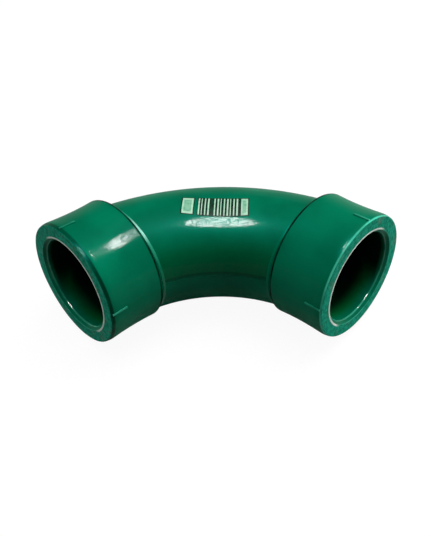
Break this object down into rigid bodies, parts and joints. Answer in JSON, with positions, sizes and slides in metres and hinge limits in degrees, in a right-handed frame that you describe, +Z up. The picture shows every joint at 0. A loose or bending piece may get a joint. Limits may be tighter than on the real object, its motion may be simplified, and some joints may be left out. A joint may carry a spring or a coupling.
{
  "type": "ninety-degree pipe bend",
  "caption": "Moulded plastic sweep bend that turns a pipe line through a right angle, with a socket collar at each end.",
  "frame": {"origin": "centre of the bounding box at the ground the bend lies on", "axes": "+Z up; seen from above socket A opens towards -Y and socket B towards +X, both tipped up a little because the bend rests back on its tube"},
  "size_m": [0.0906, 0.0906, 0.0458],
  "materials": {
    "green_plastic": "moulded polypropylene with a soft gloss"
  },
  "bodies": {
    "root": {"pipe_bend": "green_plastic"}
  },
  "joints": []
}
